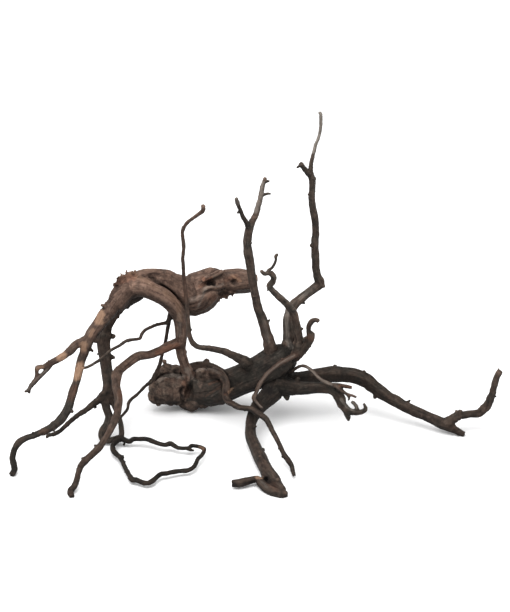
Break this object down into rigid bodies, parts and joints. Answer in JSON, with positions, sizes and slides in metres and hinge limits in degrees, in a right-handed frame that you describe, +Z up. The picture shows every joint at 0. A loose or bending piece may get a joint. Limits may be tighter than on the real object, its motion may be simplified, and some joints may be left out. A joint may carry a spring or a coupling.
{
  "type": "driftwood root",
  "caption": "Black driftwood root: a burl and trunk with an arched limb, curling roots, a closed root ring and slender upright twigs.",
  "frame": {"origin": "on the surface that the root stands on, under the middle of its bounding box", "axes": "+X to the right in the picture, +Y away from the camera, +Z up"},
  "size_m": [0.4903, 0.2265, 0.3236],
  "materials": {
    "black_wood": "dry, matt, near-black grey-brown with redder and paler worn patches"
  },
  "bodies": {
    "root": {"driftwood_root": "black_wood"}
  },
  "joints": []
}
